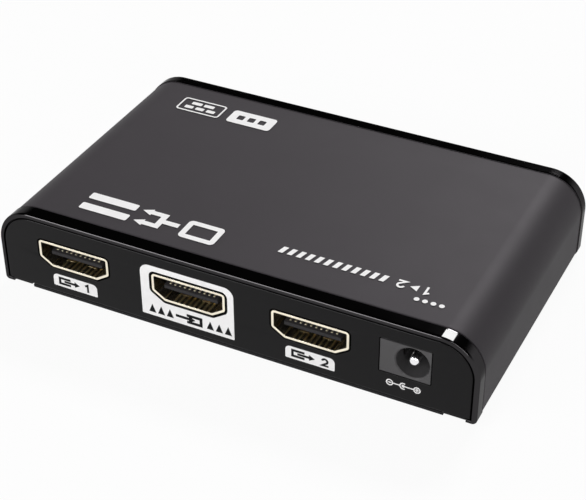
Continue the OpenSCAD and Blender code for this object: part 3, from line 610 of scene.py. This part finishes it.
def make_top_prints():
    art = Print(on_top)
    splitter_sign(art, u=5.7, v=17.35)
    # One to two, then a row of slanted bars
    digit(art, 1, u=-34.6, v=17.3, h=2.3, w=0.42)
    art.area([(-32.4, 17.6), (-30.9, 18.45), (-32.4, 19.3)])
    digit(art, 2, u=-30.1, v=17.3, h=2.3, w=0.42)
    first, pitch = -26.6, 1.78
    for k in range(12):
        art.slanted(first + pitch * k, v=17.35, w=0.95, h=1.9, lean=0.45)
    # A row of dots
    first, pitch = -37.9, 1.55
    for k in range(4):
        art.disc(first + pitch * k, v=21.3, r=0.5)
    # An outlined badge with two rows of bars
    art.outline(u0=26.45, v0=-21.8, u1=36.3, v1=-16.9, r=0.75, w=0.36)
    bar_h = 1.0
    for count, first, pitch, bar_w, v0 in ((3, 27.9, 2.5, 1.9, -19.0), (2, 28.9, 2.8, 2.3, -20.7)):
        for k in range(count):
            u0 = first + pitch * k
            art.block(u0, v0, u0 + bar_w, v0 + bar_h, r=0.2)
    art.film("top_print", WHITE_INK, 0, INK_T)
    # A filled badge with three marks left open
    plate = Print(on_top)
    badge = rounded(corners(14.8, -21.55, 24.6, -16.85), 0.75, PRINT_STEPS)
    mark_w, mark_low, mark_high, mark_r = 1.5, -20.0, -18.4, 0.2
    marks = [rounded(corners(u0, mark_low, u0 + mark_w, mark_high), mark_r, PRINT_STEPS)
             for u0 in (16.6, 19.0, 21.4)]
    plate.area(badge, *marks)
    plate.film("top_badge", WHITE_INK, 0, INK_T)


def tab(x0, z0, x1, z1, top_r):
    """A label's outline with small lower and larger upper corners."""
    return rounded(corners(x0, z0, x1, z1), [TAB_R, TAB_R, top_r, top_r])


def make_front_prints():
    labels, marks, sign = Print(on_panel), Print(on_panel), Print(on_panel)
    # The outputs' labels, each with its sign and number
    foot, label_w, label_top = 3.21, 9.62, 5.9
    for which, x0 in ((1, -36.73), (2, 12.04)):
        labels.area(tab(x0, foot, x0 + label_w, label_top, top_r=0.95))
        port_symbol(marks, x0 + 1.15, v=3.66, s=1.75, inwards=False)
        digit(marks, which, x0 + 7.0, v=3.6, h=1.9, w=0.42)
    # The input's plate round its port, with its sign between two rows of peaks
    labels.area(tab(-17.33, foot, 1.82, 14.46, top_r=1.9),
                port_outline(PORTS["input"], CUTOUT_GAP + LABEL_GAP))
    port_symbol(marks, u=-10.25, v=3.8, s=2.1, inwards=True)
    pitch, peak_w, peak_low, peak_high = 1.85, 1.5, 3.95, 5.8
    for k in range(3):
        for u0 in (-15.9 + pitch * k, -3.85 + pitch * k):
            marks.area([(u0, peak_low), (u0 + peak_w, peak_low), (u0 + peak_w / 2, peak_high)])
    labels.film("port_labels", WHITE_INK, FILM_GAP, LABEL_TOP)
    marks.film("label_marks", BLACK_INK, LABEL_TOP, MARK_TOP)
    power_sign(sign)
    sign.film("power_sign", WHITE_INK, FILM_GAP, SIGN_TOP)


make_cover()
make_bezel("front_bezel_ring", "front_bezel", FRONT_BAND, True)
make_bezel("rear_bezel_ring", "rear_bezel", REAR_BAND, False)
make_panel("front_plate", "front_panel", True,
           [lambda grow, x=x: port_outline(x, CUTOUT_GAP + grow) for x in PORTS.values()]
           + [lambda grow: jack_outline(JACK_GAP + grow)])
make_panel("rear_plate", "rear_panel", False, [])
soften("base_tray", "base_plate", BASE, width=0.12)
soften("jack_body", "jack_housing", JACK, width=0.1)
soften("centre_pin", "jack_pin", NICKEL, width=0.16, segments=4,
       keep=ahead_of(PIN_FRONT_Y))
for port in PORTS:
    soften(port + "_shell_soft", port + "_shell", SHELL, width=0.1)
    soften(port + "_tongue", port + "_insulator", TONGUE, width=0.07)
    soften(port + "_contact_rows", port + "_contacts", CONTACT, width=0.06,
           segments=3, keep=ahead_of(CONTACT_FRONT_Y))
make_top_prints()
make_front_prints()


# Stage in metres: a white bowl that is floor and backdrop in one
BOWL_R, BOWL_LIP, BOWL_STEPS, BOWL_LIP_STEPS = 1.5, 0.45, 96, 10
FLOOR_RINGS, WALL_HEIGHTS = (0.2, 0.6), (0.75, 1.05)
FLOOR_GREY, FLOOR_DROP = 0.7, 0.02 * MM
GLOW_SHARE, FADE_LOW, FADE_HIGH = 0.94, 0.3, 1.0


def stage_material():
    """White that glows where it is seen, directly or in a reflection.

    The glow fades up the wall, so that gloss corners go from light to dark without a hard edge.
    """
    mat, nodes_, links_, shader = shader_nodes("studio_white")
    shader.inputs["Base Color"].default_value = (FLOOR_GREY, FLOOR_GREY, FLOOR_GREY, 1)
    shader.inputs["Roughness"].default_value = 1.0
    shader.inputs["Specular IOR Level"].default_value = 0.0
    rays = nodes_.new("ShaderNodeLightPath").outputs
    seen = rays["Is Camera Ray"]
    for kind in ("Is Glossy Ray", "Is Transmission Ray"):
        either = nodes_.new("ShaderNodeMath")
        either.operation = "MAXIMUM"
        links_.new(seen, either.inputs[0])
        links_.new(rays[kind], either.inputs[1])
        seen = either.outputs[0]
    height = nodes_.new("ShaderNodeSeparateXYZ")
    links_.new(nodes_.new("ShaderNodeTexCoord").outputs["Object"], height.inputs[0])
    fade = nodes_.new("ShaderNodeMapRange")
    fade.interpolation_type = "SMOOTHSTEP"
    fade.inputs["From Min"].default_value = FADE_LOW
    fade.inputs["From Max"].default_value = FADE_HIGH
    fade.inputs["To Min"].default_value = GLOW_SHARE
    fade.inputs["To Max"].default_value = 0.0
    links_.new(height.outputs["Z"], fade.inputs["Value"])
    share = nodes_.new("ShaderNodeMath")
    share.operation = "MULTIPLY"
    links_.new(seen, share.inputs[0])
    links_.new(fade.outputs["Result"], share.inputs[1])
    glow = nodes_.new("ShaderNodeEmission")
    glow.inputs["Strength"].default_value = 1.0
    mix = nodes_.new("ShaderNodeMixShader")
    links_.new(share.outputs[0], mix.inputs["Fac"])
    links_.new(shader.outputs[0], mix.inputs[1])
    links_.new(glow.outputs[0], mix.inputs[2])
    links_.new(mix.outputs[0], nodes_["Material Output"].inputs["Surface"])
    return mat


def make_stage():
    bm = bmesh.new()
    profile = [(r, 0.0) for r in FLOOR_RINGS]
    profile += arc(BOWL_R, BOWL_LIP, BOWL_LIP, -90, 0, BOWL_LIP_STEPS)
    profile += [(BOWL_R + BOWL_LIP, z) for z in WALL_HEIGHTS]
    turns = [2 * math.pi * k / BOWL_STEPS for k in range(BOWL_STEPS)]
    centre = bm.verts.new((0, 0, 0))
    rows = [[bm.verts.new((r * math.cos(t), r * math.sin(t), z)) for t in turns]
            for r, z in profile]
    for k in range(BOWL_STEPS):
        bm.faces.new((centre, rows[0][k], rows[0][(k + 1) % BOWL_STEPS]))
    for a, b in zip(rows, rows[1:]):
        ring_faces(bm, a, b, True)
    bmesh.ops.recalc_face_normals(bm, faces=bm.faces)
    mesh = bpy.data.meshes.new("studio_floor")
    bm.to_mesh(mesh)
    bm.free()
    mesh.polygons.foreach_set("use_smooth", [True] * len(mesh.polygons))
    mesh.materials.append(stage_material())
    floor = bpy.data.objects.new("studio_floor", mesh)
    floor.location.z = -FLOOR_DROP
    bpy.context.scene.collection.objects.link(floor)


make_stage()


# Lamps: name, place, aim and size in metres, power in watts, roll in degrees
LAMPS = (
    ("back_key", (0.015, 0.66, 0.6), (0.03, 0, 0.01), (0.28, 0.16), 6.7, 0),
    ("front_fill", (-0.25, -0.46, 0.08), (0, -0.02, 0.01), (0.3, 0.15), 0.15, 0),
    ("rim_strip", (-0.27, -0.5, 0.29), (0, -0.02, 0.01), (0.38, 0.16), 2.3, 0),
    ("corner_strip", (0.25, -0.39, 0.28), (0.02, -0.02, 0.01), (0.36, 0.07), 0.78, -38),
)
WORLD_LIGHT = 0.03


def add_lamp(name, place, aim, size, power, roll):
    data = bpy.data.lights.new(name, "AREA")
    data.shape, data.size, data.size_y, data.energy = "RECTANGLE", size[0], size[1], power
    lamp = bpy.data.objects.new(name, data)
    lamp.location = place
    facing = (Vector(aim) - Vector(place)).to_track_quat("-Z", "Y")
    lamp.rotation_euler = (facing @ Quaternion((0, 0, 1), math.radians(roll))).to_euler()
    bpy.context.scene.collection.objects.link(lamp)


for lamp_row in LAMPS:
    add_lamp(*lamp_row)

world = bpy.data.worlds.new("studio")
world.use_nodes = True
background = world.node_tree.nodes["Background"]
background.inputs["Color"].default_value = (1, 1, 1, 1)
background.inputs["Strength"].default_value = WORLD_LIGHT
bpy.context.scene.world = world


# Camera fitted to the photograph: image sizes in pixels, angles in degrees, the rest in metres
IMAGE_W, FOCAL_PX, SHIFT_X_PX, SHIFT_Y_PX = 586, 1520.54, -10.14, 5.66
SENSOR_W = 36.0
VIEW_PLACE, VIEW_DOWN, VIEW_TURN = (0.106597, -0.215406, 0.175066), 35.667, 26.055
CLIP_NEAR, CLIP_FAR = 0.01, 10

camera = bpy.data.cameras.new("camera")
camera.sensor_width, camera.lens = SENSOR_W, SENSOR_W * FOCAL_PX / IMAGE_W
camera.shift_x, camera.shift_y = SHIFT_X_PX / IMAGE_W, SHIFT_Y_PX / IMAGE_W
camera.clip_start, camera.clip_end = CLIP_NEAR, CLIP_FAR
viewer = bpy.data.objects.new("camera", camera)
viewer.location = VIEW_PLACE
viewer.rotation_euler = (math.radians(90 - VIEW_DOWN), 0, math.radians(VIEW_TURN))
bpy.context.scene.collection.objects.link(viewer)
bpy.context.scene.camera = viewer
bpy.context.scene.view_settings.view_transform = "Standard"
